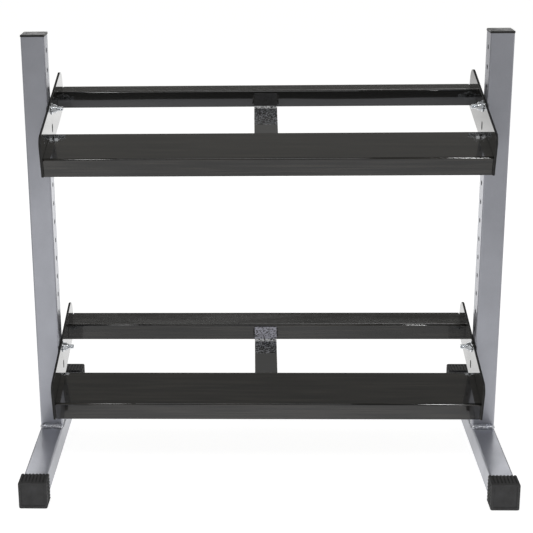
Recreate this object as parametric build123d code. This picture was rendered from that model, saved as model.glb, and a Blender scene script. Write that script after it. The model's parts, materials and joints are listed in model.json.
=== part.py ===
from build123d import *
import os

# A two-tier dumbbell rack. All sizes are in millimetres.
# +X runs along the shelves, +Y points to the rear and +Z is up.
# The origin is on the floor, under the centre of the two feet.

LEFT = -1
RIGHT = 1
SIDES = {"left": LEFT, "right": RIGHT}

# Overall size
RACK_HEIGHT = 950.0
FOOT_SPAN = 640.0
CLEAR_WIDTH = 928.0  # between the inner faces of the uprights

# Square tube for the uprights and the feet
TUBE = 50.0
TUBE_WALL = 2.0
TUBE_CORNER = 3.5

# Rubber boots on the ends of the feet
BOOT_WALL = 5.0
BOOT_LENGTH = 42.0
BOOT_CORNER = 4.0
BOOT_FRONT_FILLET = 2.0
BOOT_RIM = 6.0
BOOT_RIM_DEPTH = 1.2
RIB_COUNT = 7
RIB_GROOVE_WIDTH = 3.2
RIB_GROOVE_DEPTH = 1.6
RIB_END_MARGIN = 6.0

# Uprights and their holes
UPRIGHT_Y = -16.0
CAP_THICKNESS = 4.5
CAP_OVERHANG = 0.8
CAP_EDGE = 1.0
CAP_SKIRT = 14.0
CAP_SKIRT_WALL = 2.0
CAP_SKIRT_CORNER = 1.5
CAP_FIT = 0.3
HOLE_RADIUS = 5.5
HOLE_PITCH = 42.0
FIRST_HOLE_DROP = 36.2
HOLE_COUNT = 20
UPPER_BOLT_HOLE = 3  # counted down from the top hole, which is 0
LOWER_BOLT_HOLE = 16

# Weld round the foot of each upright
WELD_FACE_RADIUS = 8.0
WELD_SIDE_RADIUS = 3.0

# Shelf end plates, measured from the bolt along and across the plate
SHELF_TILT = {"upper": 15.0, "lower": 14.0}  # degrees, rear up; set by the slot
SLIDE_GAP = 0.1
PLATE_THICKNESS = 5.0
PLATE_WIDTH = 90.0
BOLT_BELOW_TOP = 14.5
BOLT_FROM_FRONT = 169.0
BOLT_FROM_REAR = 176.0
PLATE_FRONT_RADIUS = 20.0
PLATE_REAR_RADIUS = 28.0
PLATE_LOWER_RADIUS = 4.0
SLOT_LENGTH = 19.0
SLOT_LEAN = 15.0  # degrees from square with the plate, so that the slot hangs upright

# Shelf rails, pressed from sheet
RAIL_THICKNESS = 3.0
RAIL_BEND_RADIUS = 1.0
FRONT_SEAT = 112.0
FRONT_LEG = 41.5
FRONT_SETBACK = 5.0
REAR_SEAT = 100.0
REAR_LEG = 36.0
REAR_BEND_ALONG = 93.0
REAR_BEND_DROP = 4.0
REAR_SEAT_FALL = 19.0  # degrees that the rear seat falls away from the plate's line

# Centre brace
BRACE_WIDTH = 50.0
BRACE_THICKNESS = 4.0
BRACE_BEND_RADIUS = 3.0
BRACE_FRONT_GAP = 8.0
BRACE_TAB_DROP = 2.0

# Shelf weld beads
BEAD = 4.0
STITCH = 28.0
LEG_STITCH = 20.0
STITCH_SHARES = (0.3, 0.75)  # how far along a seat its stitches are centred

# Fasteners: M10 x 80 bolt, washer and lock nut
BOLT_RADIUS = 5.0
BOLT_LENGTH = 80.0
BOLT_TIP_CHAMFER = 1.2
HEAD_RADIUS = 10.0
HEAD_THICKNESS = 2.5
HEAD_FILLET = 1.2
HEAD_SOCKET = 6.0
HEAD_SOCKET_DEPTH = 1.6
WASHER_RADIUS = 12.5
WASHER_THICKNESS = 2.0
WASHER_BORE = 5.3
NUT_FLATS = 17.0
NUT_HEIGHT = 7.5
NUT_COLLAR_RADIUS = 7.6
NUT_COLLAR_HEIGHT = 2.5
NUT_COLLAR_FILLET = 0.8
NUT_BORE = 5.05
NUT_EDGE = 1.0
INSERT_RADIUS = 6.4
INSERT_HEIGHT = 2.0

# Worked-out sizes
HALF_CLEAR = CLEAR_WIDTH / 2
UPRIGHT_X = HALF_CLEAR + TUBE / 2
FOOT_TOP = BOOT_WALL + TUBE
UPRIGHT_TOP = RACK_HEIGHT - CAP_THICKNESS
BOOT_OUTSIDE = TUBE + 2 * BOOT_WALL
PLATE_TOP = BOLT_BELOW_TOP
PLATE_BOTTOM = BOLT_BELOW_TOP - PLATE_WIDTH
PLATE_OUTER_X = HALF_CLEAR - SLIDE_GAP
PLATE_INNER_X = PLATE_OUTER_X - PLATE_THICKNESS
SEAT_TOP = PLATE_BOTTOM + FRONT_LEG
FRONT_BEND = -BOLT_FROM_FRONT + FRONT_SETBACK
WASHER_SEAT = PLATE_INNER_X - SLIDE_GAP
NUT_SEAT = WASHER_SEAT - WASHER_THICKNESS
COLLAR_SEAT = NUT_SEAT - NUT_HEIGHT
COLLAR_END = COLLAR_SEAT - NUT_COLLAR_HEIGHT


def hole_height(number):
    """Height of an upright's hole, counted down from the top one."""
    return RACK_HEIGHT - FIRST_HOLE_DROP - number * HOLE_PITCH


TIERS = {
    "upper": hole_height(UPPER_BOLT_HOLE),
    "lower": hole_height(LOWER_BOLT_HOLE),
}


def square_tube(length):
    """Square tube standing on the XY plane, centred on Z."""
    outside = RectangleRounded(TUBE, TUBE, TUBE_CORNER)
    bore_size = TUBE - 2 * TUBE_WALL
    bore = RectangleRounded(bore_size, bore_size, TUBE_CORNER - TUBE_WALL)
    return extrude(outside - bore, length)


def upright(side):
    """Post with a column of through holes along X."""
    tube = Pos(side * UPRIGHT_X, UPRIGHT_Y, FOOT_TOP) * square_tube(UPRIGHT_TOP - FOOT_TOP)
    for number in range(HOLE_COUNT):
        drill = Rot(0, 90, 0) * Cylinder(HOLE_RADIUS, TUBE + 2 * TUBE_WALL)
        tube -= Pos(side * UPRIGHT_X, UPRIGHT_Y, hole_height(number)) * drill
    return tube


def foot_tube(side):
    """Floor tube that runs front to rear under an upright."""
    length = FOOT_SPAN - 2 * BOOT_WALL
    lying = Rot(90, 0, 0) * square_tube(length)
    return Pos(side * UPRIGHT_X, length / 2, BOOT_WALL + TUBE / 2) * lying


def upright_weld(side):
    """Bead all round the joint between an upright and its foot tube."""
    half = TUBE / 2
    bead = None
    for direction in (-1, 1):
        across = Rot(0, 90, 0) * Cylinder(WELD_FACE_RADIUS, TUBE)
        along = Rot(90, 0, 0) * Cylinder(WELD_SIDE_RADIUS, TUBE + 2 * WELD_FACE_RADIUS)
        pair = Pos(0, direction * half, 0) * across + Pos(direction * half, 0, 0) * along
        bead = pair if bead is None else bead + pair
    post_core = extrude(RectangleRounded(TUBE, TUBE, TUBE_CORNER), TUBE)
    foot_core = Pos(0, TUBE, -half) * (
        Rot(90, 0, 0) * extrude(RectangleRounded(TUBE, TUBE, TUBE_CORNER), 2 * TUBE)
    )
    ring = bead - post_core - foot_core
    return Pos(side * UPRIGHT_X, UPRIGHT_Y, FOOT_TOP) * ring


def upright_cap(side):
    """Push-in cap with a hollow skirt."""
    flange_size = TUBE + 2 * CAP_OVERHANG
    flange = extrude(RectangleRounded(flange_size, flange_size, TUBE_CORNER), CAP_THICKNESS)
    flange = chamfer(flange.edges().group_by(Axis.Z)[-1], CAP_EDGE)
    skirt_size = TUBE - 2 * TUBE_WALL - 2 * CAP_FIT
    hollow_size = skirt_size - 2 * CAP_SKIRT_WALL
    ring = RectangleRounded(skirt_size, skirt_size, CAP_SKIRT_CORNER)
    ring -= Rectangle(hollow_size, hollow_size)
    skirt = Pos(0, 0, -CAP_SKIRT) * extrude(ring, CAP_SKIRT)
    return Pos(side * UPRIGHT_X, UPRIGHT_Y, UPRIGHT_TOP) * (flange + skirt)


def boot():
    """Ribbed rubber boot. Its closed end faces -Y and the tube comes in from +Y."""
    middle_z = BOOT_OUTSIDE / 2
    block = Pos(0, BOOT_LENGTH / 2, middle_z) * Box(BOOT_OUTSIDE, BOOT_LENGTH, BOOT_OUTSIDE)
    block = fillet(block.edges().filter_by(Axis.Y), BOOT_CORNER)
    block = fillet(block.faces().sort_by(Axis.Y)[0].edges(), BOOT_FRONT_FILLET)
    lying_core = Rot(-90, 0, 0) * extrude(RectangleRounded(TUBE, TUBE, TUBE_CORNER), BOOT_LENGTH)
    block -= Pos(0, BOOT_WALL, middle_z) * lying_core
    panel_size = BOOT_OUTSIDE - 2 * BOOT_RIM
    panel = Rot(-90, 0, 0) * extrude(
        RectangleRounded(panel_size, panel_size, BOOT_FRONT_FILLET), BOOT_RIM_DEPTH
    )
    block -= Pos(0, 0, middle_z) * panel
    groove_pitch = (BOOT_OUTSIDE - 2 * BOOT_CORNER) / RIB_COUNT
    groove_length = BOOT_LENGTH - RIB_END_MARGIN
    for number in range(RIB_COUNT):
        place = (number - (RIB_COUNT - 1) / 2) * groove_pitch
        centre_y = RIB_END_MARGIN + groove_length / 2
        flat = Box(RIB_GROOVE_WIDTH, groove_length, 2 * RIB_GROOVE_DEPTH)
        upright_groove = Box(2 * RIB_GROOVE_DEPTH, groove_length, RIB_GROOVE_WIDTH)
        block -= Pos(place, centre_y, BOOT_OUTSIDE) * flat
        for edge_x in (-BOOT_OUTSIDE / 2, BOOT_OUTSIDE / 2):
            block -= Pos(edge_x, centre_y, middle_z + place) * upright_groove
    return block


def front_boot(side):
    return Pos(side * UPRIGHT_X, -FOOT_SPAN / 2, 0) * boot()


def rear_boot(side):
    return Pos(side * UPRIGHT_X, FOOT_SPAN / 2, 0) * (Rot(0, 0, 180) * boot())


def on_shelf(tier, shape):
    """Turns a shape from the shelf's own level frame, centred on its bolts, to its place."""
    return Pos(0, UPRIGHT_Y, TIERS[tier]) * (Rot(SHELF_TILT[tier], 0, 0) * shape)


def bent_strip(start, corner, end, thickness, bend_radius):
    """Outline in the YZ plane of a strip bent once. The three points lie on its outer skin."""
    start, corner, end = Vector(*start), Vector(*corner), Vector(*end)
    run_in = (corner - start).normalized()
    run_out = (end - corner).normalized()
    turn = 1 if run_in.X * run_out.Y - run_in.Y * run_out.X > 0 else -1
    side_in = Vector(-run_in.Y, run_in.X) * turn
    side_out = Vector(-run_out.Y, run_out.X) * turn
    inner_corner = corner + (side_in + side_out) * (thickness / (1 + side_in.dot(side_out)))
    outline = Polyline(
        start, corner, end, end + side_out * thickness,
        inner_corner, start + side_in * thickness, close=True,
    )
    strip = make_face(outline)
    strip = fillet(strip.vertices().sort_by_distance(corner)[0], bend_radius + thickness)
    return fillet(strip.vertices().sort_by_distance(inner_corner)[0], bend_radius)


def along_x(outline, length):
    """Extrudes a YZ outline, centred on X = 0."""
    return extrude(Plane.YZ.offset(-length / 2) * outline, length)


def end_plate(tier, side):
    """Flat side plate with its bolt hole and, one hole pitch below, an upright slot."""
    length = BOLT_FROM_FRONT + BOLT_FROM_REAR
    middle_y = (BOLT_FROM_REAR - BOLT_FROM_FRONT) / 2
    middle_z = (PLATE_TOP + PLATE_BOTTOM) / 2
    face = Pos(middle_y, middle_z) * Rectangle(length, PLATE_WIDTH)
    corners = {
        (-BOLT_FROM_FRONT, PLATE_TOP): PLATE_FRONT_RADIUS,
        (BOLT_FROM_REAR, PLATE_TOP): PLATE_REAR_RADIUS,
        (-BOLT_FROM_FRONT, PLATE_BOTTOM): PLATE_LOWER_RADIUS,
        (BOLT_FROM_REAR, PLATE_BOTTOM): PLATE_REAR_RADIUS,
    }
    for corner, radius in corners.items():
        face = fillet(face.vertices().sort_by_distance(Vector(*corner))[0], radius)
    face -= Circle(HOLE_RADIUS)
    slot = Pos(0, -HOLE_PITCH) * SlotOverall(SLOT_LENGTH, 2 * HOLE_RADIUS, rotation=90)
    face -= Rot(0, 0, -SLOT_LEAN) * slot
    centre_x = side * (PLATE_OUTER_X + PLATE_INNER_X) / 2
    return on_shelf(tier, Pos(centre_x, 0, 0) * along_x(face, PLATE_THICKNESS))


def front_rail(tier):
    """Angle with a wide seat along the plates and a front leg square to it."""
    outline = bent_strip(
        (FRONT_BEND + FRONT_SEAT, SEAT_TOP), (FRONT_BEND, SEAT_TOP), (FRONT_BEND, PLATE_BOTTOM),
        RAIL_THICKNESS, RAIL_BEND_RADIUS,
    )
    return on_shelf(tier, along_x(outline, 2 * PLATE_INNER_X))


def rear_points():
    """Rear edge, bend and leg bottom of the rear rail's outer skin."""
    bend = Vector(REAR_BEND_ALONG, -REAR_BEND_DROP)
    seat_way = Vector(1, 0).rotate(Axis.Z, -REAR_SEAT_FALL)
    leg_way = Vector(0, -1).rotate(Axis.Z, -REAR_SEAT_FALL)
    return bend + seat_way * REAR_SEAT, bend, bend + leg_way * REAR_LEG


def rear_rail(tier):
    """Angle whose seat falls gently to the rear and whose leg faces the front."""
    points = [tuple(point) for point in rear_points()]
    outline = bent_strip(*points, RAIL_THICKNESS, RAIL_BEND_RADIUS)
    return on_shelf(tier, along_x(outline, 2 * PLATE_INNER_X))


def brace_points():
    """Front end, bend and tab top of the brace's outer skin."""
    _, bend, leg_bottom = rear_points()
    underside = SEAT_TOP - RAIL_THICKNESS - BRACE_THICKNESS
    leg_way = (leg_bottom - bend).normalized()
    corner = bend + leg_way * ((underside - bend.Y) / leg_way.Y)
    front_end = Vector(FRONT_BEND + RAIL_THICKNESS + BRACE_FRONT_GAP, underside)
    return front_end, corner, bend + leg_way * (RAIL_BEND_RADIUS + RAIL_THICKNESS + BRACE_TAB_DROP)


def centre_brace(tier):
    """Flat bar under the front seat, with its rear end bent up against the rear rail's leg."""
    points = [tuple(point) for point in brace_points()]
    outline = bent_strip(*points, BRACE_THICKNESS, BRACE_BEND_RADIUS)
    return on_shelf(tier, along_x(outline, BRACE_WIDTH))


def corner_bead(length):
    """Triangular bead along +Y, in the corner where +X and -Z walls meet at the origin."""
    section = make_face(Polyline((0, 0), (-BEAD, 0), (0, -BEAD), close=True))
    return Pos(0, length / 2, 0) * extrude(Plane.XZ * section, length)


def end_beads(side):
    """Stitches that hold both rails to one end plate, on the hidden side of the rails."""
    seat_stitch = corner_bead(STITCH)
    leg_stitch = Rot(90, 0, 0) * corner_bead(LEG_STITCH)
    beads = []
    front_underside = SEAT_TOP - RAIL_THICKNESS
    leg_back = FRONT_BEND + RAIL_THICKNESS
    for share in STITCH_SHARES:
        along = FRONT_BEND + share * FRONT_SEAT
        beads.append(Pos(PLATE_INNER_X, along, front_underside) * seat_stitch)
    beads.append(Pos(PLATE_INNER_X, leg_back, front_underside - FRONT_LEG / 2) * leg_stitch)
    _, bend, _ = rear_points()
    rear_frame = Pos(0, bend.X, bend.Y) * Rot(-REAR_SEAT_FALL, 0, 0)
    for share in STITCH_SHARES:
        place = Pos(PLATE_INNER_X, share * REAR_SEAT, -RAIL_THICKNESS)
        beads.append(rear_frame * (place * seat_stitch))
    leg_place = Pos(PLATE_INNER_X, RAIL_THICKNESS, -REAR_LEG / 2 - RAIL_THICKNESS)
    beads.append(rear_frame * (leg_place * leg_stitch))
    if side == RIGHT:
        return beads
    return [mirror(bead, Plane.YZ) for bead in beads]


def brace_beads():
    """Stitches along both edges of the brace, under the front seat and up its tab."""
    edge_x = -BRACE_WIDTH / 2
    seat_middle = FRONT_BEND + FRONT_SEAT / 2
    seat_bead = Pos(edge_x, seat_middle, SEAT_TOP - RAIL_THICKNESS) * corner_bead(STITCH)
    _, bend, _ = rear_points()
    rear_frame = Pos(0, bend.X, bend.Y) * Rot(-REAR_SEAT_FALL, 0, 0)
    upright_bead = Rot(-90, 0, 0) * corner_bead(LEG_STITCH)
    tab_bead = rear_frame * (Pos(edge_x, 0, -REAR_LEG / 2 - BRACE_TAB_DROP) * upright_bead)
    left_beads = [seat_bead, tab_bead]
    return left_beads + [mirror(bead, Plane.YZ) for bead in left_beads]


def shelf_welds(tier):
    beads = end_beads(LEFT) + end_beads(RIGHT) + brace_beads()
    return [on_shelf(tier, bead) for bead in beads]


def outward(side, tier, shape):
    """Moves a shape from the bolt's frame, where +Z points to the rack's outside, to its post."""
    return Pos(0, UPRIGHT_Y, TIERS[tier]) * (Rot(0, side * 90, 0) * shape)


def hexagon(flats, height):
    return extrude(RegularPolygon(flats / 2, 6, major_radius=False), height)


def bolt(tier, side):
    """Bolt with a low round head on the outside of the upright."""
    head_seat = HALF_CLEAR + TUBE
    head = Pos(0, 0, head_seat) * extrude(Circle(HEAD_RADIUS), HEAD_THICKNESS)
    head = fillet(head.edges().group_by(Axis.Z)[-1], HEAD_FILLET)
    socket_floor = head_seat + HEAD_THICKNESS - HEAD_SOCKET_DEPTH
    head -= Pos(0, 0, socket_floor) * hexagon(HEAD_SOCKET, HEAD_THICKNESS)
    shank = Pos(0, 0, head_seat - BOLT_LENGTH) * extrude(Circle(BOLT_RADIUS), BOLT_LENGTH)
    shank = chamfer(shank.edges().group_by(Axis.Z)[0], BOLT_TIP_CHAMFER)
    return outward(side, tier, head + shank)


def washer(tier, side):
    ring = Circle(WASHER_RADIUS) - Circle(WASHER_BORE)
    return outward(side, tier, Pos(0, 0, NUT_SEAT) * extrude(ring, WASHER_THICKNESS))


def nut(tier, side):
    """Lock nut: a chamfered hexagon and a round collar that holds the insert."""
    corner_radius = NUT_FLATS / 2 + NUT_EDGE
    body = Pos(0, 0, COLLAR_SEAT) * hexagon(NUT_FLATS, NUT_HEIGHT)
    crown = Pos(0, 0, COLLAR_SEAT) * extrude(Circle(corner_radius), NUT_HEIGHT)
    body &= chamfer(crown.edges(), NUT_EDGE)
    collar = Pos(0, 0, COLLAR_END) * extrude(Circle(NUT_COLLAR_RADIUS), NUT_COLLAR_HEIGHT)
    collar = fillet(collar.edges().group_by(Axis.Z)[0], NUT_COLLAR_FILLET)
    body += collar
    body -= Pos(0, 0, COLLAR_END) * extrude(Circle(NUT_BORE), NUT_COLLAR_HEIGHT + NUT_HEIGHT)
    body -= Pos(0, 0, COLLAR_END) * extrude(Circle(INSERT_RADIUS), INSERT_HEIGHT)
    return outward(side, tier, body)


def nut_insert(tier, side):
    ring = Circle(INSERT_RADIUS) - Circle(NUT_BORE)
    return outward(side, tier, Pos(0, 0, COLLAR_END) * extrude(ring, INSERT_HEIGHT))


def save(name, shape):
    solids = shape if isinstance(shape, list) else [shape]
    node = Compound(children=[solid for item in solids for solid in item.solids()])
    node.label = name
    export_step(node, f"parts/{name}.step")


def main():
    os.makedirs("parts", exist_ok=True)
    frame_makers = {
        "upright": upright,
        "foot_tube": foot_tube,
        "upright_weld": upright_weld,
        "upright_cap": upright_cap,
        "front_boot": front_boot,
        "rear_boot": rear_boot,
    }
    fastener_makers = {"bolt": bolt, "washer": washer, "nut": nut, "nut_insert": nut_insert}
    shelf_makers = {
        "front_rail": front_rail,
        "rear_rail": rear_rail,
        "centre_brace": centre_brace,
        "shelf_welds": shelf_welds,
    }
    for side_name, side in SIDES.items():
        for part_name, maker in frame_makers.items():
            save(f"{side_name}_{part_name}", maker(side))
    for tier in TIERS:
        for part_name, maker in shelf_makers.items():
            save(f"{tier}_{part_name}", maker(tier))
        for side_name, side in SIDES.items():
            save(f"{tier}_{side_name}_end_plate", end_plate(tier, side))
            for part_name, maker in fastener_makers.items():
                save(f"{tier}_{side_name}_{part_name}", maker(tier, side))


main()
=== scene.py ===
import json
import math
import random

import bmesh
import bpy
from mathutils import Matrix, Vector


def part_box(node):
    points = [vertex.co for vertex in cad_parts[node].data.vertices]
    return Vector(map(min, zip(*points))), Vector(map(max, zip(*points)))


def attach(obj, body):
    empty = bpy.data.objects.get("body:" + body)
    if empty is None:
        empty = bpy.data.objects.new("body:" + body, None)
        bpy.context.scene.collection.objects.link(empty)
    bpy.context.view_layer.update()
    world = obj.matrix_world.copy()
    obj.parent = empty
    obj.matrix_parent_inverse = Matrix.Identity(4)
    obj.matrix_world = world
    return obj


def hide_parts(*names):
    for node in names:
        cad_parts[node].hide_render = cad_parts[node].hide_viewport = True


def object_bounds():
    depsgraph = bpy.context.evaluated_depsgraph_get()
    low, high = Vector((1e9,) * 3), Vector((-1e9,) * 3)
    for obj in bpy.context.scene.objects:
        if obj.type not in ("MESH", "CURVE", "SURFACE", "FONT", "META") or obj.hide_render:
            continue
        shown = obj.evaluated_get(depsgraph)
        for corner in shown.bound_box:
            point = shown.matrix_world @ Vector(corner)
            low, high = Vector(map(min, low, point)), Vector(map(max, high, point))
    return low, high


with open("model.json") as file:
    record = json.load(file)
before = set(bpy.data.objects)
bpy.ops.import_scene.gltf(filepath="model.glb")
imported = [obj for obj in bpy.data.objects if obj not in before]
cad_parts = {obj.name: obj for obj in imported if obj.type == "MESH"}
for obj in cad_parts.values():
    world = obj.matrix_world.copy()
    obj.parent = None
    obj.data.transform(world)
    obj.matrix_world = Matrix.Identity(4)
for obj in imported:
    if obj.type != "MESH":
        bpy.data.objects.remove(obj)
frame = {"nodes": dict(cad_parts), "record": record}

# A two-tier dumbbell rack. All sizes are in metres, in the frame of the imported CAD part:
# +X runs along the shelves, +Y points to the rear and +Z is up.

cad_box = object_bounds()
random.seed(7)

SIDES = {"left": -1, "right": 1}
TIERS = ("upper", "lower")

# Camera, in front of the rack and looking down; angles in degrees, lens and sensor in millimetres
CAMERA_PLACE = Vector((-0.028, -2.724, 1.3305))
CAMERA_PITCH = 16.38
CAMERA_YAW = -2.0
CAMERA_ROLL = -0.75
CAMERA_LENS = 87.15
CAMERA_SENSOR = 36.0
CAMERA_SHIFT_X = 0.106
CAMERA_SHIFT_Y = -0.0835

# Stage: strengths seen by the camera, and strengths felt by the rack.
# The sky's limits run from 0 at the horizon to 1 overhead.
FLOOR_REACH = 15.0
FLOOR_SEEN = 0.88
FLOOR_FELT_FRONT = 0.70
FLOOR_FELT_REAR = 1.0
FLOOR_MOTTLE = 0.12
FLOOR_SKEW = 0.15
SKY_LOW = 0.1
SKY_HIGH = 0.7
SKY_DARK = 0.03
SKY_PALE = 0.30
SKY_TINT = (1.0, 0.985, 0.94)
SKY_HORIZON = 0.035
SKY_HORIZON_LOW = 0.10
SKY_HORIZON_HIGH = 0.16

# Lights: place, width and height, radiance, and whether only glossy faces answer to them
LIGHTS = {
    "front_softbox": ((0.0, -2.0, 2.9), (2.6, 0.8), 3.0, False),
    "right_glint": ((2.0, -1.9, 1.9), (0.14, 0.8), 55.0, True),
    "left_glint": ((-1.3, -1.9, 1.9), (0.30, 0.5), 12.0, True),
    "rear_strip": ((0.0, 3.0, 1.65), (3.6, 0.7), 1.9, False),
    "cap_strip": ((0.0, 6.0, 1.76), (5.0, 0.35), 0.75, False),
}

# Colours, linear
SILVER = (0.455, 0.466, 0.515)
BLACK = (0.006, 0.006, 0.0057)
BLACK_STREAK = (0.026, 0.0235, 0.020)
ZINC = (0.90, 0.915, 0.94)
RUBBER = (0.026, 0.026, 0.027)
PLASTIC = (0.016, 0.016, 0.015)
NYLON = (0.55, 0.56, 0.58)
BEAD_SCALE = (0.62, 0.64, 0.70)
BEAD_BRIGHT = (0.93, 0.94, 0.98)
BLACK_DUST = (0.03, 0.03, 0.028)
RUBBER_DUST = (0.062, 0.062, 0.065)
ZINC_STAIN = (0.74, 0.78, 0.82)
ZINC_CREVICE_SHADE = (0.03, 0.03, 0.03)
# Inside of the tubes and walls of their holes: unpainted steel, painted near-black as shade
BARE_STEEL_IN_SHADE = (0.008, 0.007, 0.006)
EDGE_BLACK = (0.002, 0.002, 0.002)
BRACE_BLACK = (0.065, 0.067, 0.070)
BRACE_SPECK = (0.32, 0.33, 0.36)
# Painted highlight along the bends of the braces
BRACE_BEND_GLINT = (0.85, 0.86, 0.88)
# Brace tabs: the upper one dark; the lower one pale, a painted reflection
BRACE_TAB = {"upper": (0.012, 0.012, 0.014), "lower": (0.56, 0.56, 0.65)}

# Painted reflection on the leg of the upper rear rail: a pale band with a wavy upper edge
PAINTED_LEG_REFLECTION = (0.085, 0.087, 0.092)
LEG_REFLECTION_EDGE = 0.006
LEG_REFLECTION_WAVE = 0.022
LEG_REFLECTION_WAVES_PER_METRE = 2.2

# Scales of the surface noise, per metre; streaks are drawn out along the shelves
FLAKES = 1400.0
ORANGE_PEEL = 170.0
STREAKS = 300.0
STREAK_STRETCH = (0.02, 1.0, 1.0)
BRACE_GRAIN = 270.0

# Width over which one finish gives way to the next
FINE_EDGE = 0.001

# Cut edges start CUT_LIP below the painted faces. An upright's holes lie within HOLE_REACH of its middle.
CUT_LIP = 0.0003
TUBE_WALL = 0.002
HOLE_REACH = 0.008

# Braces: where the bend and the end of the rough zone lie, from the rear and top of the brace
BRACE_BEND_REAR = 0.0075
BRACE_TAB_HEIGHT = 0.0306
# The painted highlight starts this far in front of the bend
BRACE_GLINT_REACH = 0.006
BRACE_ROUGH = {"upper": 0.088, "lower": 0.058}

# Weld beads
RIPPLE_PITCH = 0.0036
RIPPLE_DEPTH = 0.28
RIPPLE_BOW = 0.35
RIPPLE_ROUNDNESS = 0.5
BEAD_SWELLS = ((0.05, 310.0), (0.04, 870.0))
BEAD_TIP_SHARE = 0.02
FACE_BEAD_SHARE = 1.2
FACE_BEAD_TAPER = 0.006
SIDE_BEAD_SHARE = 0.8
SIDE_BEAD_TAPER = 0.004
SIDE_BEAD_DROP = 0.001
BEAD_STEP = 0.0003
BEAD_ARC_STEPS = 12
LUMP_GRID = 0.0007
LUMP_SIZE = 0.003
LUMP_DEPTH = 0.0016

# Bolts
THREAD_PITCH = 0.0015
THREAD_DEPTH = 0.0009
THREAD_LENGTH = 0.026
THREAD_STEPS = 8
BOLT_RADIUS = 0.005
BOLT_TIP = 0.0010
HEAD_RADIUS = 0.010
HEAD_THICKNESS = 0.0025
HEAD_FILLET = 0.0012
SOCKET_FLATS = 0.006
SOCKET_DEPTH = 0.0016
SOCKET_CHAMFER = 0.0004
TURN_STEPS = 60
AXIS_RADIUS = 0.0004
HEAD_FILLET_STEPS = 6

# Softened edges of the CAD nodes; angles are in degrees
PLATE_EDGE = 0.0006
NUT_EDGE = 0.0003
BOOT_EDGE = 0.0005
CAP_EDGE = 0.0004
RAIL_EDGE = 0.0005
MERGE_REACH = 0.00001
FLAT_ANGLE = 1.0
SHARP_ANGLE = 40.0


class Paint:
    """A node material under construction, with its Principled shader and object coordinates."""

    def __init__(self, name, colour, metallic, roughness):
        self.material = bpy.data.materials.new(name)
        self.material.use_nodes = True
        self.nodes = self.material.node_tree.nodes
        self.links = self.material.node_tree.links
        self.shader = self.nodes["Principled BSDF"]
        self.shader.inputs["Base Color"].default_value = (*colour, 1.0)
        self.shader.inputs["Metallic"].default_value = metallic
        self.shader.inputs["Roughness"].default_value = roughness
        self.place = self.nodes.new("ShaderNodeTexCoord").outputs["Object"]
        self.height = None

    def link(self, output, node, socket):
        self.links.new(output, node.inputs[socket])

    def stretched(self, scale):
        """Object coordinates stretched by three factors."""
        mapping = self.nodes.new("ShaderNodeMapping")
        mapping.inputs["Scale"].default_value = scale
        self.link(self.place, mapping, "Vector")
        return mapping.outputs["Vector"]

    def noise(self, scale, detail=2.0, roughness=0.5, place=None):
        node = self.nodes.new("ShaderNodeTexNoise")
        node.inputs["Scale"].default_value = scale
        node.inputs["Detail"].default_value = detail
        node.inputs["Roughness"].default_value = roughness
        self.link(place or self.place, node, "Vector")
        return node.outputs["Fac"]

    def voronoi(self, scale):
        node = self.nodes.new("ShaderNodeTexVoronoi")
        node.inputs["Scale"].default_value = scale
        self.link(self.place, node, "Vector")
        return node.outputs["Distance"]

    def ramp(self, value, low, high, from_low, from_high):
        """Value moved from one range to another and held at its ends."""
        node = self.nodes.new("ShaderNodeMapRange")
        node.inputs["From Min"].default_value = from_low
        node.inputs["From Max"].default_value = from_high
        node.inputs["To Min"].default_value = low
        node.inputs["To Max"].default_value = high
        self.link(value, node, "Value")
        return node.outputs["Result"]

    def worked_out(self, operation, first, second):
        """Result of a calculation on two values, each either fixed or made by a node."""
        node = self.nodes.new("ShaderNodeMath")
        node.operation = operation
        for index, value in enumerate((first, second)):
            if isinstance(value, float):
                node.inputs[index].default_value = value
            else:
                self.links.new(value, node.inputs[index])
        return node.outputs["Value"]

    def product(self, first, second):
        return self.worked_out("MULTIPLY", first, second)

    def axes(self, place=None):
        """X, Y and Z of a place, by name."""
        node = self.nodes.new("ShaderNodeSeparateXYZ")
        self.link(place or self.place, node, "Vector")
        return node.outputs

    def mixed(self, factor, first, second):
        """Colour between two colours, each either fixed or made by a node."""
        node = self.nodes.new("ShaderNodeMix")
        node.data_type = "RGBA"
        for socket, colour in (("A", first), ("B", second)):
            if isinstance(colour, tuple):
                node.inputs[socket].default_value = (*colour, 1.0)
            else:
                self.link(colour, node, socket)
        self.link(factor, node, "Factor")
        return node.outputs["Result"]

    def in_crevices(self, distance, closed, opened):
        """1 deep in grooves and corners, 0 on open faces: ambient occlusion as a mask for painted shade."""
        node = self.nodes.new("ShaderNodeAmbientOcclusion")
        node.inputs["Distance"].default_value = distance
        return self.ramp(node.outputs["AO"], low=1.0, high=0.0, from_low=closed, from_high=opened)

    def bump(self, height, strength, distance):
        """Adds a layer of relief on top of the ones before."""
        node = self.nodes.new("ShaderNodeBump")
        node.inputs["Strength"].default_value = strength
        node.inputs["Distance"].default_value = distance
        self.link(height, node, "Height")
        if self.height is not None:
            self.link(self.height, node, "Normal")
        self.height = node.outputs["Normal"]
        self.link(self.height, self.shader, "Normal")

    def coat(self, weight, roughness):
        self.shader.inputs["Coat Weight"].default_value = weight
        self.shader.inputs["Coat Roughness"].default_value = roughness

    def colour(self, output):
        self.link(output, self.shader, "Base Color")

    def roughness(self, output):
        self.link(output, self.shader, "Roughness")


def scaled(colour, factor):
    return tuple(channel * factor for channel in colour)


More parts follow.
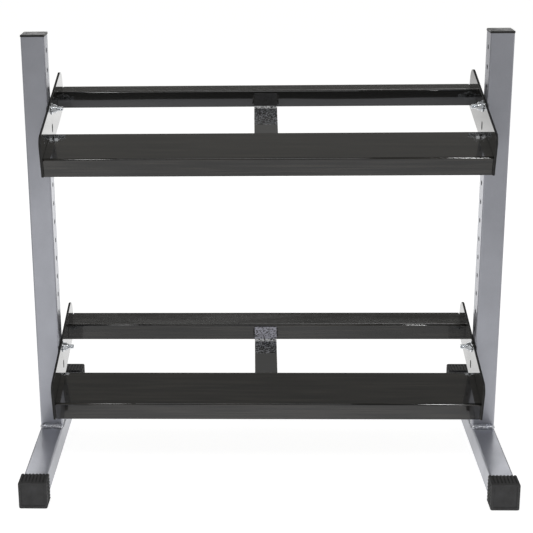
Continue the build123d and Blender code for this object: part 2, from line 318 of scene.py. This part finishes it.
def silver_paint():
    """Silver enamel: fine metal flakes under a thin lacquer, blotched and lightly rubbed, with painted
    shade in its crevices.
    """
    paint = Paint("silver_paint", SILVER, metallic=0.85, roughness=0.34)
    flakes = paint.voronoi(FLAKES)
    flaky = paint.mixed(
        paint.ramp(flakes, low=0.0, high=1.0, from_low=0.1, from_high=0.7),
        scaled(SILVER, 1.12),
        scaled(SILVER, 0.95),
    )
    blotches = paint.ramp(
        paint.noise(scale=7.0, detail=4.0, roughness=0.6),
        low=0.0,
        high=0.45,
        from_low=0.35,
        from_high=0.7,
    )
    worn = paint.mixed(blotches, flaky, scaled(SILVER, 0.72))
    # Painted shade: darker in crevices where the blotches fall, masked by ambient occlusion
    crevice_shade = paint.product(paint.in_crevices(distance=0.006, closed=0.35, opened=0.8), blotches)
    paint.colour(paint.mixed(crevice_shade, worn, scaled(SILVER, 0.3)))
    patchy = paint.noise(scale=9.0, detail=5.0, roughness=0.6, place=paint.stretched((1.0, 1.0, 0.25)))
    paint.roughness(paint.ramp(patchy, low=0.29, high=0.42, from_low=0.35, from_high=0.7))
    paint.bump(paint.noise(scale=220.0, detail=2.0), strength=0.25, distance=0.0004)
    paint.bump(paint.noise(scale=1500.0, detail=1.0), strength=0.12, distance=0.0001)
    paint.coat(weight=0.25, roughness=0.12)
    return paint


def reflecting_rail_paint(node):
    """Black enamel whose lower leg carries a painted reflection: a pale band with a wavy upper edge."""
    paint = Paint(f"{node}_paint", BLACK, metallic=0.0, roughness=0.16)
    wave = paint.noise(
        LEG_REFLECTION_WAVES_PER_METRE, detail=1.0, roughness=0.5, place=paint.stretched((1.0, 0.0, 0.0)),
    )
    height = paint.worked_out("SUBTRACT", paint.axes()["Z"], paint.worked_out("MULTIPLY", wave, LEG_REFLECTION_WAVE))
    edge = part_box(node)[0].z + LEG_REFLECTION_EDGE
    # Painted reflection: the leg turns pale below a wavy edge
    reflection_band = paint.ramp(height, low=1.0, high=0.0, from_low=edge, from_high=edge + 2 * FINE_EDGE)
    paint.colour(paint.mixed(reflection_band, BLACK, PAINTED_LEG_REFLECTION))
    paint.roughness(paint.ramp(reflection_band, low=0.12, high=0.3, from_low=0.0, from_high=1.0))
    paint.bump(paint.noise(ORANGE_PEEL, detail=2.0), strength=0.10, distance=0.0003)
    paint.shader.inputs["Specular IOR Level"].default_value = 0.25
    paint.coat(weight=1.0, roughness=0.03)
    return paint


def with_dark_cuts(paint, node, both_ways, cut_colour):
    """Makes one node's paint dark and matt below its painted faces: in hollows, as painted shade, and on
    cut edges.

    A tube is painted on its X and Y faces, both ways, and a plate only on its X faces.
    """
    paint.material.name = f"{node}_paint"
    low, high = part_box(node)
    from_middle = paint.nodes.new("ShaderNodeMapping")
    from_middle.inputs["Location"].default_value = -(low + high) / 2
    paint.link(paint.place, from_middle, "Vector")
    size = paint.nodes.new("ShaderNodeVectorMath")
    size.operation = "ABSOLUTE"
    paint.links.new(from_middle.outputs["Vector"], size.inputs[0])
    axes = paint.axes(size.outputs["Vector"])
    first, second = axes["X"], axes["Y" if both_ways else "X"]
    wider = paint.worked_out("MAXIMUM", first, second)
    narrower = paint.worked_out("MINIMUM", first, second)
    wall = TUBE_WALL - 2 * CUT_LIP
    corner = paint.ramp(narrower, low=0.0, high=wall, from_low=HOLE_REACH, from_high=HOLE_REACH + FINE_EDGE)
    reach = paint.worked_out("ADD", wider, corner)
    inside = paint.worked_out("LESS_THAN", reach, (high.x - low.x) / 2 - CUT_LIP)
    cut = paint.nodes.new("ShaderNodeBsdfPrincipled")
    cut.inputs["Base Color"].default_value = (*cut_colour, 1.0)
    cut.inputs["Roughness"].default_value = 0.6
    choice = paint.nodes.new("ShaderNodeMixShader")
    paint.link(inside, choice, "Fac")
    paint.links.new(paint.shader.outputs["BSDF"], choice.inputs[1])
    paint.links.new(cut.outputs["BSDF"], choice.inputs[2])
    paint.links.new(choice.outputs["Shader"], paint.nodes["Material Output"].inputs["Surface"])
    return paint


def brace_paint(tier):
    """Black enamel of a brace, rough and speckled up to its rear bend, with a broken painted highlight on
    the bend.
    """
    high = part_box(f"{tier}_centre_brace")[1]
    bend_y = high.y - BRACE_BEND_REAR
    tab_z = high.z - BRACE_TAB_HEIGHT + 2 * FINE_EDGE
    rough_y = high.y - BRACE_ROUGH[tier]
    paint = Paint(f"{tier}_brace_paint", BRACE_BLACK, metallic=0.0, roughness=0.2)
    axes = paint.axes()
    along, height = axes["Y"], axes["Z"]
    grain = paint.noise(BRACE_GRAIN, detail=2.0, roughness=0.6)
    rough = paint.ramp(along, low=0.0, high=1.0, from_low=rough_y, from_high=rough_y + FINE_EDGE)
    speck = paint.ramp(grain, low=0.0, high=1.0, from_low=0.49, from_high=0.57)
    colour = paint.mixed(rough, BRACE_BLACK, paint.mixed(speck, EDGE_BLACK, BRACE_SPECK))
    on_tab = paint.ramp(height, low=0.0, high=1.0, from_low=tab_z, from_high=tab_z + FINE_EDGE)
    tab_speck = paint.ramp(grain, low=0.1, high=1.0, from_low=0.40, from_high=0.52)
    # The lower brace's pale tab is a painted reflection
    colour = paint.mixed(paint.product(on_tab, tab_speck), colour, BRACE_TAB[tier])
    # Painted highlight: a broken bright line along the bend
    at_bend = paint.product(
        paint.ramp(
            along,
            low=0.0,
            high=1.0,
            from_low=bend_y - BRACE_GLINT_REACH,
            from_high=bend_y - BRACE_GLINT_REACH + FINE_EDGE,
        ),
        paint.ramp(height, low=1.0, high=0.0, from_low=tab_z, from_high=tab_z + FINE_EDGE),
    )
    patchy = paint.ramp(grain, low=0.0, high=1.0, from_low=0.42, from_high=0.49)
    paint.colour(paint.mixed(paint.product(at_bend, patchy), colour, BRACE_BEND_GLINT))
    paint.roughness(paint.ramp(rough, low=0.14, high=0.45, from_low=0.0, from_high=1.0))
    paint.link(
        paint.ramp(rough, low=0.9, high=0.25, from_low=0.0, from_high=1.0), paint.shader, "Coat Weight",
    )
    paint.bump(paint.product(rough, grain), strength=0.8, distance=0.001)
    paint.bump(rough, strength=0.6, distance=0.0006)
    return paint


def black_gloss_paint():
    """Gloss black enamel with orange peel, dust and a few rub marks."""
    paint = Paint("black_gloss_paint", BLACK, metallic=0.0, roughness=0.16)
    streaks = paint.noise(STREAKS, detail=2.0, roughness=0.5, place=paint.stretched(STREAK_STRETCH))
    streaky = paint.mixed(
        paint.ramp(streaks, low=0.0, high=1.0, from_low=0.42, from_high=0.62),
        scaled(BLACK, 0.4),
        BLACK_STREAK,
    )
    dust = paint.noise(scale=900.0, detail=3.0, roughness=0.7)
    paint.colour(
        paint.mixed(
            paint.ramp(dust, low=0.0, high=1.0, from_low=0.62, from_high=0.75), streaky, BLACK_DUST,
        ),
    )
    rub = paint.noise(scale=6.0, detail=6.0, roughness=0.62, place=paint.stretched((0.4, 2.0, 2.0)))
    paint.roughness(paint.ramp(rub, low=0.08, high=0.24, from_low=0.4, from_high=0.68))
    paint.bump(paint.noise(ORANGE_PEEL, detail=2.0), strength=0.10, distance=0.0003)
    paint.bump(streaks, strength=0.15, distance=0.0003)
    paint.shader.inputs["Specular IOR Level"].default_value = 0.25
    paint.coat(weight=1.0, roughness=0.03)
    return paint


def weld_bead():
    """Bright painted weld with patches of darker scale."""
    paint = Paint("weld_bead", BEAD_BRIGHT, metallic=0.9, roughness=0.32)
    spatter = paint.noise(scale=420.0, detail=3.0, roughness=0.6)
    paint.colour(
        paint.mixed(
            paint.ramp(spatter, low=0.0, high=1.0, from_low=0.45, from_high=0.6), BEAD_SCALE, BEAD_BRIGHT,
        ),
    )
    paint.bump(paint.noise(scale=900.0, detail=3.0), strength=0.3, distance=0.0003)
    paint.coat(weight=0.4, roughness=0.1)
    return paint


def black_rubber():
    """Matt moulded rubber with dust on its faces and painted shade in its grooves."""
    paint = Paint("black_rubber", RUBBER, metallic=0.0, roughness=0.62)
    grime = paint.noise(scale=40.0, detail=5.0, roughness=0.65)
    dusty = paint.mixed(
        paint.ramp(grime, low=0.0, high=1.0, from_low=0.35, from_high=0.7), RUBBER, RUBBER_DUST,
    )
    # Painted shade: near-black in the grooves, masked by ambient occlusion
    paint.colour(
        paint.mixed(paint.in_crevices(distance=0.005, closed=0.55, opened=0.85), dusty, EDGE_BLACK),
    )
    paint.roughness(paint.ramp(grime, low=0.55, high=0.78, from_low=0.35, from_high=0.7))
    paint.bump(paint.noise(scale=1300.0, detail=3.0), strength=0.35, distance=0.0003)
    return paint


def black_plastic():
    """Finely grained moulded plastic."""
    paint = Paint("black_plastic", PLASTIC, metallic=0.0, roughness=0.42)
    paint.roughness(
        paint.ramp(paint.noise(scale=60.0, detail=4.0), low=0.36, high=0.5, from_low=0.35, from_high=0.7),
    )
    paint.bump(paint.voronoi(scale=1100.0), strength=0.25, distance=0.0002)
    return paint


def zinc_plate():
    """Zinc plating, slightly stained, with painted shade in the threads and corners."""
    paint = Paint("zinc_plate", ZINC, metallic=1.0, roughness=0.24)
    stain = paint.noise(scale=160.0, detail=4.0, roughness=0.6)
    plated = paint.mixed(
        paint.ramp(stain, low=0.0, high=1.0, from_low=0.35, from_high=0.7), ZINC, ZINC_STAIN,
    )
    # Painted shade: dark in the threads and corners, masked by ambient occlusion
    paint.colour(
        paint.mixed(paint.in_crevices(distance=0.002, closed=0.1, opened=0.45), plated, ZINC_CREVICE_SHADE),
    )
    paint.roughness(paint.ramp(stain, low=0.18, high=0.32, from_low=0.3, from_high=0.7))
    paint.bump(paint.noise(scale=1200.0, detail=2.0), strength=0.15, distance=0.0001)
    return paint


def nylon():
    """Pale nylon with a fine grain."""
    paint = Paint("nylon", NYLON, metallic=0.0, roughness=0.5)
    paint.bump(paint.noise(scale=900.0, detail=2.0), strength=0.2, distance=0.0001)
    return paint


MATERIALS = {
    maker.__name__: maker().material
    for maker in (
        silver_paint, black_gloss_paint, weld_bead, black_rubber, black_plastic, zinc_plate, nylon,
    )
}


def slot_of_each_node():
    return {part["node"]: part["material_slot"] for part in frame["record"]["subparts"]}


def new_piece(name, mesh_data, slot, body, node):
    """Puts a new mesh in place of a CAD node."""
    mesh = bpy.data.meshes.new(name)
    mesh_data.to_mesh(mesh)
    mesh_data.free()
    mesh.materials.append(MATERIALS[slot])
    piece = bpy.data.objects.new(name, mesh)
    bpy.context.scene.collection.objects.link(piece)
    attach(piece, body)
    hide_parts(node)


def add_rings(solid, rings):
    """Skins a row of equally long rings of points and closes both ends."""
    rows = [[solid.verts.new(point) for point in ring] for ring in rings]
    count = len(rows[0])
    for row, following in zip(rows, rows[1:]):
        for index in range(count):
            after = (index + 1) % count
            face = solid.faces.new((row[index], row[after], following[after], following[index]))
            face.smooth = True
    solid.faces.new(list(reversed(rows[0])))
    solid.faces.new(rows[-1])


def ripple(along, angle):
    """Share of a bead's full radius: overlapping crescents, as a hand-laid weld leaves."""
    phase = along / RIPPLE_PITCH + RIPPLE_BOW * math.cos(2.0 * angle)
    crest = abs(math.sin(math.pi * phase)) ** RIPPLE_ROUNDNESS
    return 1.0 - RIPPLE_DEPTH * (1.0 - crest)


def add_bead(solid, start, end, out, up, radius, taper):
    """One weld bead whose quarter-round section runs from direction out to direction up."""
    start, end, out, up = Vector(start), Vector(end), Vector(out), Vector(up)
    length = (end - start).length
    way = (end - start).normalized()
    steps = round(length / BEAD_STEP)
    wander = random.uniform(0.0, 10.0)
    rings = []
    for step in range(steps + 1):
        along = length * step / steps
        from_end = min(along, length - along) / taper
        ending = math.sqrt(max(BEAD_TIP_SHARE, 1.0 - (1.0 - min(1.0, from_end)) ** 2))
        swell = 1.0 + sum(size * math.sin(along * rate + wander) for size, rate in BEAD_SWELLS)
        core = start + way * along
        ring = [core]
        for turn in range(BEAD_ARC_STEPS + 1):
            angle = math.pi / 2 * turn / BEAD_ARC_STEPS
            reach = radius * ending * swell * ripple(along, angle)
            ring.append(core + (out * math.cos(angle) + up * math.sin(angle)) * reach)
        rings.append(ring)
    add_rings(solid, rings)


def upright_weld(side_name):
    """Rippled beads in front of, behind and beside the foot of an upright."""
    post_low, post_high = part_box(f"{side_name}_upright")
    weld_low, weld_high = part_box(f"{side_name}_upright_weld")
    foot_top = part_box(f"{side_name}_foot_tube")[1].z
    face_radius = post_low.y - weld_low.y
    side_radius = (weld_high.x - weld_low.x - (post_high.x - post_low.x)) / 2
    solid = bmesh.new()
    for face_y, out_y in ((post_low.y, -1.0), (post_high.y, 1.0)):
        add_bead(
            solid, (post_low.x, face_y, foot_top), (post_high.x, face_y, foot_top),
            (0.0, out_y, 0.0), (0.0, 0.0, 1.0), face_radius * FACE_BEAD_SHARE, FACE_BEAD_TAPER,
        )
    for face_x, out_x in ((post_low.x, -1.0), (post_high.x, 1.0)):
        for up_z in (-1.0, 1.0):
            bead_z = foot_top - SIDE_BEAD_DROP
            add_bead(
                solid, (face_x, post_low.y, bead_z), (face_x, post_high.y, bead_z),
                (out_x, 0.0, 0.0), (0.0, 0.0, up_z), side_radius * SIDE_BEAD_SHARE, SIDE_BEAD_TAPER,
            )
    bmesh.ops.recalc_face_normals(solid, faces=solid.faces)
    name = f"{side_name}_upright_weld"
    new_piece(f"{name}_beads", solid, "weld_bead", "frame", name)


def hexagon_radius(flats, turn):
    """Distance from the middle of a hexagon to its edge in one direction."""
    sixth = math.pi / 3
    return flats / 2 / math.cos((turn % sixth) - sixth / 2)


def bolt_profile(tip, head_seat):
    """Rings from socket floor to tip, each a function from turn to (distance from X = 0, radius)."""
    top = head_seat + HEAD_THICKNESS
    floor_level = top - SOCKET_DEPTH
    rings = [
        lambda turn: (floor_level, AXIS_RADIUS),
        lambda turn: (floor_level, hexagon_radius(SOCKET_FLATS, turn)),
        lambda turn: (top - SOCKET_CHAMFER, hexagon_radius(SOCKET_FLATS, turn)),
        lambda turn: (top, SOCKET_FLATS / math.sqrt(3.0) + SOCKET_CHAMFER),
    ]
    for step in range(HEAD_FILLET_STEPS + 1):
        angle = math.pi / 2 * step / HEAD_FILLET_STEPS
        level = top - HEAD_FILLET * (1.0 - math.cos(angle))
        radius = HEAD_RADIUS - HEAD_FILLET * (1.0 - math.sin(angle))
        rings.append(lambda turn, level=level, radius=radius: (level, radius))
    rings.append(lambda turn: (head_seat, HEAD_RADIUS))
    rings.append(lambda turn: (head_seat, BOLT_RADIUS))
    thread_start = tip + THREAD_LENGTH
    rings.append(lambda turn: (thread_start, BOLT_RADIUS))
    steps = round(THREAD_LENGTH / THREAD_PITCH * THREAD_STEPS)
    for step in range(1, steps + 1):
        level = thread_start - THREAD_LENGTH * step / steps
        rings.append(lambda turn, level=level: (level, thread_radius(level, tip, turn)))
    rings.append(lambda turn: (tip, AXIS_RADIUS))
    return rings


def thread_radius(level, tip, turn):
    """Radius of the screw thread, which fades into the chamfer at the tip."""
    phase = (level / THREAD_PITCH + turn / (2 * math.pi)) % 1.0
    cut = THREAD_DEPTH * (1.0 - abs(2.0 * phase - 1.0))
    chamfer = max(0.0, BOLT_TIP - (level - tip))
    return min(BOLT_RADIUS - cut, BOLT_RADIUS - chamfer)


def bolt(tier, side_name):
    """Threaded bolt with a low round socket head on the outside of the upright."""
    node = f"{tier}_{side_name}_bolt"
    low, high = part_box(node)
    side = SIDES[side_name]
    tip = min(abs(low.x), abs(high.x))
    head_seat = max(abs(low.x), abs(high.x)) - HEAD_THICKNESS
    middle = (low + high) / 2
    rings = []
    for ring in bolt_profile(tip, head_seat):
        points = []
        for step in range(TURN_STEPS):
            turn = 2 * math.pi * step / TURN_STEPS
            level, radius = ring(turn)
            y = middle.y + radius * math.cos(turn)
            z = middle.z + radius * math.sin(turn)
            points.append((side * level, y, z))
        rings.append(points)
    solid = bmesh.new()
    add_rings(solid, rings)
    bmesh.ops.recalc_face_normals(solid, faces=solid.faces)
    new_piece(f"{node}_threaded", solid, "zinc_plate", "frame", node)


def soften_edges(node, width):
    """Rounds the sharp edges of a CAD node."""
    piece = frame["nodes"][node]
    join = piece.modifiers.new("joined_points", "WELD")
    join.merge_threshold = MERGE_REACH
    flatten = piece.modifiers.new("flat_faces", "DECIMATE")
    flatten.decimate_type = "DISSOLVE"
    flatten.angle_limit = math.radians(FLAT_ANGLE)
    bevel = piece.modifiers.new("edges", "BEVEL")
    bevel.width = width
    bevel.segments = 2
    bevel.limit_method = "ANGLE"
    bevel.angle_limit = math.radians(SHARP_ANGLE)
    bevel.harden_normals = True


def make_lumpy(node):
    """Turns the smooth fillets of a CAD node into uneven weld beads."""
    piece = frame["nodes"][node]
    grid = piece.modifiers.new("grid", "REMESH")
    grid.mode = "VOXEL"
    grid.voxel_size = LUMP_GRID
    grid.use_smooth_shade = True
    lumps = bpy.data.textures.new(f"{node}_lumps", "CLOUDS")
    lumps.noise_scale = LUMP_SIZE
    swell = piece.modifiers.new("lumps", "DISPLACE")
    swell.texture = lumps
    swell.texture_coords = "LOCAL"
    swell.strength = LUMP_DEPTH
    swell.mid_level = 0.5


def repaint(node, material):
    for holder in frame["nodes"][node].material_slots:
        holder.material = material


def dress_cad_nodes():
    """Gives every CAD node the material of its slot, and some nodes a version of their own."""
    for name, slot in slot_of_each_node().items():
        repaint(name, MATERIALS[slot])
    for side_name in SIDES:
        upright = f"{side_name}_upright"
        paint = with_dark_cuts(silver_paint(), upright, both_ways=True, cut_colour=BARE_STEEL_IN_SHADE)
        repaint(upright, paint.material)
        for tier in TIERS:
            plate = f"{tier}_{side_name}_end_plate"
            paint = with_dark_cuts(black_gloss_paint(), plate, both_ways=False, cut_colour=EDGE_BLACK)
            repaint(plate, paint.material)
    for tier in TIERS:
        repaint(f"{tier}_centre_brace", brace_paint(tier).material)
    repaint("upper_rear_rail", reflecting_rail_paint("upper_rear_rail").material)


def add_details():
    """Replaces the bolts and foot welds, rounds sharp edges and makes the shelf welds uneven."""
    for side_name in SIDES:
        upright_weld(side_name)
        for tier in TIERS:
            bolt(tier, side_name)
            soften_edges(f"{tier}_{side_name}_end_plate", PLATE_EDGE)
            soften_edges(f"{tier}_{side_name}_nut", NUT_EDGE)
            soften_edges(f"{tier}_{side_name}_washer", NUT_EDGE)
        soften_edges(f"{side_name}_front_boot", BOOT_EDGE)
        soften_edges(f"{side_name}_rear_boot", BOOT_EDGE)
        soften_edges(f"{side_name}_upright_cap", CAP_EDGE)
    for tier in TIERS:
        for part in ("front_rail", "rear_rail", "centre_brace"):
            soften_edges(f"{tier}_{part}", RAIL_EDGE)
        make_lumpy(f"{tier}_shelf_welds")


def rays_seen_and_felt(nodes, links, seen, felt):
    """One strength for what the camera sees straight on and another for what lights the rack."""
    ray = nodes.new("ShaderNodeLightPath")
    choice = nodes.new("ShaderNodeMix")
    choice.data_type = "FLOAT"
    choice.inputs["B"].default_value = seen
    links.new(ray.outputs["Is Camera Ray"], choice.inputs["Factor"])
    links.new(felt, choice.inputs["A"])
    return choice.outputs["Result"]


def floor():
    """Pale floor that washes out all but the closest shadows and lights the rack unevenly."""
    mesh = bpy.data.meshes.new("floor")
    corners = [
        (-FLOOR_REACH, -FLOOR_REACH, 0), (FLOOR_REACH, -FLOOR_REACH, 0),
        (FLOOR_REACH, FLOOR_REACH, 0), (-FLOOR_REACH, FLOOR_REACH, 0),
    ]
    mesh.from_pydata(corners, [], [(0, 1, 2, 3)])
    plane = bpy.data.objects.new("floor", mesh)
    bpy.context.scene.collection.objects.link(plane)
    paint = Paint("pale_floor", (0.5, 0.5, 0.5), metallic=0.0, roughness=0.9)
    paint.shader.inputs["Specular IOR Level"].default_value = 0.0
    paint.shader.inputs["Emission Color"].default_value = (1.0, 1.0, 1.0, 1.0)
    axes = paint.axes()
    depth = axes["Y"]
    skewed = paint.nodes.new("ShaderNodeVectorMath")
    skewed.operation = "DOT_PRODUCT"
    skewed.inputs[1].default_value = (1.0, -FLOOR_SKEW, 0.0)
    paint.links.new(paint.place, skewed.inputs[0])
    across = skewed.outputs["Value"]
    felt = paint.ramp(depth, FLOOR_FELT_FRONT, FLOOR_FELT_REAR, from_low=0.0, from_high=1.5)
    far_front = paint.ramp(depth, low=0.50, high=1.0, from_low=-5.5, from_high=-0.8)
    far_rear = paint.ramp(depth, low=1.0, high=0.8, from_low=3.5, from_high=7.0)
    left_dim = paint.ramp(across, low=0.5, high=1.0, from_low=-0.9, from_high=-0.5)
    left_bright = paint.ramp(axes["X"], low=1.38, high=1.0, from_low=-0.78, from_high=-0.5)
    right_dim = paint.ramp(across, low=1.0, high=0.7, from_low=0.6, from_high=1.0)
    blotches = paint.noise(scale=1.6, detail=2.0)
    mottle = paint.ramp(blotches, 1.0 - FLOOR_MOTTLE, 1.0 + FLOOR_MOTTLE, from_low=0.35, from_high=0.65)
    for shade in (far_front, far_rear, left_dim, left_bright, right_dim, mottle):
        felt = paint.product(felt, shade)
    glow = rays_seen_and_felt(paint.nodes, paint.links, FLOOR_SEEN, felt)
    paint.link(glow, paint.shader, "Emission Strength")
    mesh.materials.append(paint.material)


def studio_sky():
    """White to the camera. What lights the rack is dark near the horizon and pale overhead."""
    world = bpy.data.worlds.new("studio")
    world.use_nodes = True
    bpy.context.scene.world = world
    nodes = world.node_tree.nodes
    links = world.node_tree.links
    axes = nodes.new("ShaderNodeSeparateXYZ")
    links.new(nodes.new("ShaderNodeTexCoord").outputs["Generated"], axes.inputs["Vector"])
    glow = nodes.new("ShaderNodeMapRange")
    glow.inputs["From Min"].default_value = SKY_LOW
    glow.inputs["From Max"].default_value = SKY_HIGH
    glow.inputs["To Min"].default_value = SKY_DARK
    glow.inputs["To Max"].default_value = SKY_PALE
    links.new(axes.outputs["Z"], glow.inputs["Value"])
    horizon = nodes.new("ShaderNodeMapRange")
    horizon.inputs["From Min"].default_value = SKY_HORIZON_LOW
    horizon.inputs["From Max"].default_value = SKY_HORIZON_HIGH
    horizon.inputs["To Min"].default_value = SKY_HORIZON
    horizon.inputs["To Max"].default_value = 0.0
    links.new(axes.outputs["Z"], horizon.inputs["Value"])
    both = nodes.new("ShaderNodeMath")
    both.operation = "ADD"
    links.new(glow.outputs["Result"], both.inputs[0])
    links.new(horizon.outputs["Result"], both.inputs[1])
    strength = rays_seen_and_felt(nodes, links, 1.0, both.outputs["Value"])
    links.new(strength, nodes["Background"].inputs["Strength"])
    tint = nodes.new("ShaderNodeMix")
    tint.data_type = "RGBA"
    tint.inputs["A"].default_value = (*SKY_TINT, 1.0)
    tint.inputs["B"].default_value = (1.0, 1.0, 1.0, 1.0)
    links.new(nodes.new("ShaderNodeLightPath").outputs["Is Camera Ray"], tint.inputs["Factor"])
    links.new(tint.outputs["Result"], nodes["Background"].inputs["Color"])


def area_light(name, place, target, size, radiance, only_gloss):
    """Rectangular light of a given brightness, turned towards a point."""
    data = bpy.data.lights.new(name, "AREA")
    data.shape = "RECTANGLE"
    data.size, data.size_y = size
    data.energy = radiance * math.pi * size[0] * size[1]
    lamp = bpy.data.objects.new(name, data)
    lamp.location = place
    lamp.rotation_mode = "QUATERNION"
    lamp.rotation_quaternion = (Vector(target) - Vector(place)).to_track_quat("-Z", "Y")
    lamp.visible_camera = False
    lamp.visible_diffuse = not only_gloss
    bpy.context.scene.collection.objects.link(lamp)


def studio_lights():
    """Soft panels before and behind the rack, and narrow ones that glint on the bends."""
    centre = (cad_box[0] + cad_box[1]) / 2
    for name, (place, size, radiance, only_gloss) in LIGHTS.items():
        area_light(name, place, centre, size, radiance, only_gloss)


def camera():
    """Camera from pitch, yaw and roll; with no roll its up side stays in a vertical plane."""
    pitch, yaw, roll = (math.radians(angle) for angle in (CAMERA_PITCH, CAMERA_YAW, CAMERA_ROLL))
    forward = Vector((math.sin(yaw) * math.cos(pitch), math.cos(yaw) * math.cos(pitch), -math.sin(pitch)))
    level_right = Vector((math.cos(yaw), -math.sin(yaw), 0.0))
    level_up = level_right.cross(forward)
    right = level_right * math.cos(roll) + level_up * math.sin(roll)
    up = level_up * math.cos(roll) - level_right * math.sin(roll)
    axes = Matrix((right, up, -forward)).transposed()
    data = bpy.data.cameras.new("camera")
    data.sensor_width = CAMERA_SENSOR
    data.lens = CAMERA_LENS
    data.shift_x = CAMERA_SHIFT_X
    data.shift_y = CAMERA_SHIFT_Y
    eye = bpy.data.objects.new("camera", data)
    eye.matrix_world = Matrix.Translation(CAMERA_PLACE) @ axes.to_4x4()
    bpy.context.scene.collection.objects.link(eye)
    bpy.context.scene.camera = eye


dress_cad_nodes()
add_details()
floor()
studio_sky()
studio_lights()
camera()
bpy.context.scene.view_settings.view_transform = "Standard"
